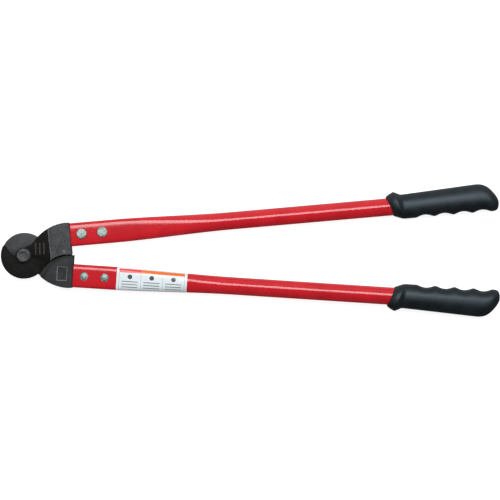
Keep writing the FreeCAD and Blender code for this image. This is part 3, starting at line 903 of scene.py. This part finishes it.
rivet_tree = make_rivet_tree()
form = new_object("rivet_form", ring_mesh("rivet_form", rivet_form()))
for arm in ARMS:
    first, second = rivet_u(arm, 1), rivet_u(arm, 2)
    made = run_tree(arm + "_rivets", rivet_tree, Form=form, First=first, Pitch=second - first,
                    Material=zinc_plate)
    outward(made.data)
    finished(made, arm_matrix(arm), ARMS[arm], [arm + "_rivet_1", arm + "_rivet_2"], [zinc_plate])
bpy.data.objects.remove(form)

# %% [markdown]
# ## The pivot
# A shouldered bolt with a dished hexagon head passes through both levers, with a washer under the head and
# another under a lock nut. A ring of the head or nut is a circle or a hexagon, or the lower of the two where the
# corners are turned off, so both are made of rings. The end of the thread shows below the nut: its ridge follows
# a helix, which is a rule, so a tree wraps a grid into it.

# %% Bolt, washers and nut
WASHER_TOP = (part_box("front_washer")[1].z - pivot.z) / MM
HEAD_TOP = (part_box("pivot_bolt")[1].z - pivot.z) / MM
BOLT_END = (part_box("pivot_bolt")[0].z - pivot.z) / MM
NUT_END = (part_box("lock_nut")[0].z - pivot.z) / MM
WASHER_R = (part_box("front_washer")[1].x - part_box("front_washer")[0].x) / 2 / MM
WASHER_BASE = (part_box("front_washer")[0].z - pivot.z) / MM
ACROSS_FLATS = 17.0
HEX_COLUMNS = 144
HEX_TURN = math.radians(12)


def hex_radius(angles):
    """Distance to the hexagon's side at each angle."""
    folded = (angles - HEX_TURN) % (math.pi / 3) - math.pi / 6
    return ACROSS_FLATS / 2 / np.cos(folded)


def hex_ring(z, inset=0.0, most=None):
    """A hexagon at height z, drawn in by inset and cut off at a circle of radius most."""
    angles = np.linspace(0, 2 * math.pi, HEX_COLUMNS, endpoint=False)
    radius = hex_radius(angles) - inset
    if most is not None:
        radius = np.minimum(radius, most)
    return np.stack([radius * np.cos(angles), radius * np.sin(angles), np.full(HEX_COLUMNS, z)], axis=1)


def crowned_hex(z_base, z_crown):
    """Rings from a hexagon's base to its crown, whose corners are turned off at 30 degrees."""
    up = 1 if z_crown > z_base else -1
    rim = ACROSS_FLATS / 2 * 0.96
    rings = [hex_ring(z_base, 0.25), hex_ring(z_base + 0.2 * up)]
    angles = np.linspace(0, 2 * math.pi, HEX_COLUMNS, endpoint=False)
    radius = hex_radius(angles)
    for share in (0.0, 0.12, 1.0):
        across = radius + (rim - radius) * share
        fall = (across - rim) * math.tan(math.radians(30))
        rings.append(np.stack([across * np.cos(angles), across * np.sin(angles), z_crown - up * fall], axis=1))
    return rings


def make_bolt():
    rings = [turned_ring(r, z, HEX_COLUMNS) for r, z in (
        (4.2, BOLT_END + 3.0), (4.2, -WASHER_TOP - 0.5), (5.9, -WASHER_TOP + 0.6), (6.0, -WASHER_TOP + 1.0),
        (6.0, WASHER_TOP))]
    rings += crowned_hex(WASHER_TOP, HEAD_TOP)
    rings += [turned_ring(r, HEAD_TOP + z, HEX_COLUMNS) for r, z in (
        (7.6, 0.0), (6.0, 0.0), (5.7, -0.08), (5.2, -0.5), (4.6, -0.62), (2.4, -0.66), (0.4, -0.66))]
    made = new_object("pivot_bolt_body", ring_mesh("pivot_bolt_body", rings))
    return finished(made, PIVOT_MATRIX, "lower_arm", ["pivot_bolt"], [black_oxide])


def make_washer(name, node, side):
    profile = [(6.3, WASHER_BASE + 0.15), (6.3, WASHER_TOP - 0.15), (6.5, WASHER_TOP), (9.7, WASHER_TOP),
               (10.1, WASHER_TOP - 0.15), (WASHER_R, WASHER_TOP - 0.5), (WASHER_R, WASHER_BASE + 0.3),
               (10.1, WASHER_BASE), (6.5, WASHER_BASE)]
    made = new_object(name, hollow_mesh(name, [turned_ring(r, side * z, 96) for r, z in profile]))
    return finished(made, PIVOT_MATRIX, "lower_arm", [node], [black_oxide])


def make_nut():
    collar = NUT_END + 2.4
    rings = [turned_ring(5.05, NUT_END + 2.9, HEX_COLUMNS), turned_ring(5.05, -WASHER_TOP - 0.3, HEX_COLUMNS),
             turned_ring(5.6, -WASHER_TOP, HEX_COLUMNS)]
    rings += crowned_hex(-WASHER_TOP, collar)
    rings += [turned_ring(r, z, HEX_COLUMNS) for r, z in (
        (7.75, collar), (7.6, collar - 0.2), (7.5, NUT_END + 0.9), (7.3, NUT_END + 0.35), (6.9, NUT_END + 0.02),
        (6.75, NUT_END + 0.05), (6.62, NUT_END + 0.4), (6.6, NUT_END + 2.9))]
    made = new_object("lock_nut_body", hollow_mesh("lock_nut_body", rings))
    return finished(made, PIVOT_MATRIX, "lower_arm", ["lock_nut"], [black_oxide])


make_bolt()
make_washer("washer_front", "front_washer", 1)
make_washer("washer_rear", "rear_washer", -1)
make_nut()
frame["nodes"]["lock_nut_ring"].data.materials.clear()
frame["nodes"]["lock_nut_ring"].data.materials.append(nylon)


# %% Thread
THREAD_PITCH = 1.5
THREAD_CREST = 4.98
THREAD_DEPTH = 0.85


def make_thread_tree():
    number = "NodeSocketFloat"
    tree, graph, read = new_tree("bolt_thread", [
        ("Low", number, BOLT_END), ("High", number, -WASHER_TOP), ("Crest radius", number, THREAD_CREST),
        ("Depth", number, THREAD_DEPTH), ("Pitch", number, THREAD_PITCH), ("Rows", "NodeSocketInt", 130),
        ("Columns", "NodeSocketInt", 73), ("Material", "NodeSocketMaterial", None)])
    grid = graph.add("GeometryNodeMeshGrid", {}, {"Size X": 1.0, "Size Y": 1.0, "Vertices X": read("Rows"),
                                                  "Vertices Y": read("Columns")})
    place = graph.add("ShaderNodeSeparateXYZ", {}, {0: graph.add("GeometryNodeInputPosition")})
    along, turn = place + 0.5, place.out(1) + 0.5
    z = read("Low") + along * (read("High") - read("Low"))
    phase = (z / read("Pitch") + turn).math("FRACT")
    ridge = 1 - ((phase - 0.5).math("ABSOLUTE") * 2.6).math("MINIMUM", 1.0)
    lead_in = (z - read("Low")).smooth(0.0, 1.3)
    radius = read("Crest radius") - read("Depth") + read("Depth") * ridge * lead_in
    radius = radius - (1 - lead_in) * 0.35
    angle = turn * (2 * math.pi)
    point = graph.add("ShaderNodeCombineXYZ", {}, {"X": radius * angle.math("COSINE"),
                                                   "Y": radius * angle.math("SINE"), "Z": z})
    wrapped = graph.add("GeometryNodeSetPosition", {}, {"Geometry": grid, "Position": point})
    closed = graph.add("GeometryNodeMergeByDistance", {}, {"Geometry": wrapped, "Distance": 0.001})
    end_tree(graph, closed, read("Material"))
    return tree


def make_thread():
    made = run_tree("pivot_thread", make_thread_tree(), Material=black_oxide)
    mesh = bmesh.new()
    mesh.from_mesh(made.data)
    bmesh.ops.holes_fill(mesh, edges=[e for e in mesh.edges if e.is_boundary])
    bmesh.ops.recalc_face_normals(mesh, faces=mesh.faces)
    mesh.to_mesh(made.data)
    mesh.free()
    return finished(made, PIVOT_MATRIX, "lower_arm", [], [black_oxide], sharp=50)


make_thread()

# %% [markdown]
# ## Floor, light and camera
# The tool lies on a pale, softly lit table and is seen from straight above, from far enough that its faces hardly
# lean. One long soft light stands a little towards the upper handle, which puts the bright line along the enamel.
# The surroundings are dim, so that blacked steel stays black, and the table gives a little light of its own, as a
# light table does, so that shadows stay faint.


# %% Stage
TOOL_MIDDLE_X = 0.33
TABLE_ALBEDO, TABLE_GLOW = 0.35, 0.9
FLOOR_HALF = 4.0


def make_floor():
    data = bpy.data.meshes.new("floor")
    corners = [(x * FLOOR_HALF, y * FLOOR_HALF, 0) for x, y in ((-1, -1), (1, -1), (1, 1), (-1, 1))]
    data.from_pydata(corners, [], [(0, 1, 2, 3)])
    floor = new_object("floor", data)
    material, graph, shader, place = finish("floor_white", roughness=0.95)
    shader.inputs["Base Color"].default_value = (TABLE_ALBEDO, TABLE_ALBEDO, TABLE_ALBEDO, 1)
    shader.inputs["Specular IOR Level"].default_value = 0.0
    shader.inputs["Emission Color"].default_value = (1, 1, 1, 1)
    shader.inputs["Emission Strength"].default_value = TABLE_GLOW
    data.materials.append(material)
    floor.location = (TOOL_MIDDLE_X, 0, cad_box[0][2] - 0.0002)
    floor.visible_glossy = False


def make_light(name, degrees_from_top, turned_to, distance, size, radiance):
    """A soft box aimed at the tool; turned_to is measured from +X towards +Y."""
    lamp = bpy.data.lights.new(name, "AREA")
    lamp.shape, lamp.size, lamp.size_y = "RECTANGLE", size[0], size[1]
    lamp.energy = radiance * math.pi * size[0] * size[1]
    made = new_object(name, lamp)
    tilt, turn = math.radians(degrees_from_top), math.radians(turned_to)
    middle = Vector((TOOL_MIDDLE_X, 0.0, 0.02))
    away = Vector((math.sin(tilt) * math.cos(turn), math.sin(tilt) * math.sin(turn), math.cos(tilt)))
    made.location = middle + away * distance
    made.rotation_euler = away.to_track_quat("Z", "Y").to_euler()


def make_surroundings(dim, bright):
    """Dim on the side of the lower handle, brighter towards the upper one."""
    world = bpy.data.worlds.new("studio")
    bpy.context.scene.world = world
    world.use_nodes = True
    graph = Graph(world.node_tree)
    direction = graph.add("ShaderNodeSeparateXYZ", {}, {0: graph.add("ShaderNodeTexCoord")})
    strength = direction.out(1).smooth(-0.1, 0.9) * (bright - dim) + dim
    link(graph, strength, world.node_tree.nodes["Background"], "Strength")
    world.node_tree.nodes["Background"].inputs["Color"].default_value = (1, 1, 1, 1)


make_floor()
make_light("key", degrees_from_top=17.5, turned_to=90, distance=1.5, size=(2.0, 0.58), radiance=8.0)
make_surroundings(dim=0.1, bright=0.6)
bpy.context.scene.view_settings.view_transform = "Standard"
print("lights", [lamp.name for lamp in bpy.data.lights])

# %% Camera
CAMERA_ABOVE = 2.6              # metres over the pivot; the lens grows with it, so the tool keeps its size
LENS_PER_METRE = 49.6
CAMERA_X, CAMERA_Y, CAMERA_ROLL = 0.3277, 0.0045, -0.66
camera = bpy.data.cameras.new("camera")
camera.lens = LENS_PER_METRE * CAMERA_ABOVE
camera.sensor_width = 36
view = new_object("camera", camera)
view.location = (CAMERA_X, CAMERA_Y, pivot.z + CAMERA_ABOVE)
view.rotation_euler = (0, 0, math.radians(CAMERA_ROLL))
bpy.context.scene.camera = view
print("camera", [round(x, 4) for x in view.location], "lens", round(camera.lens, 2))
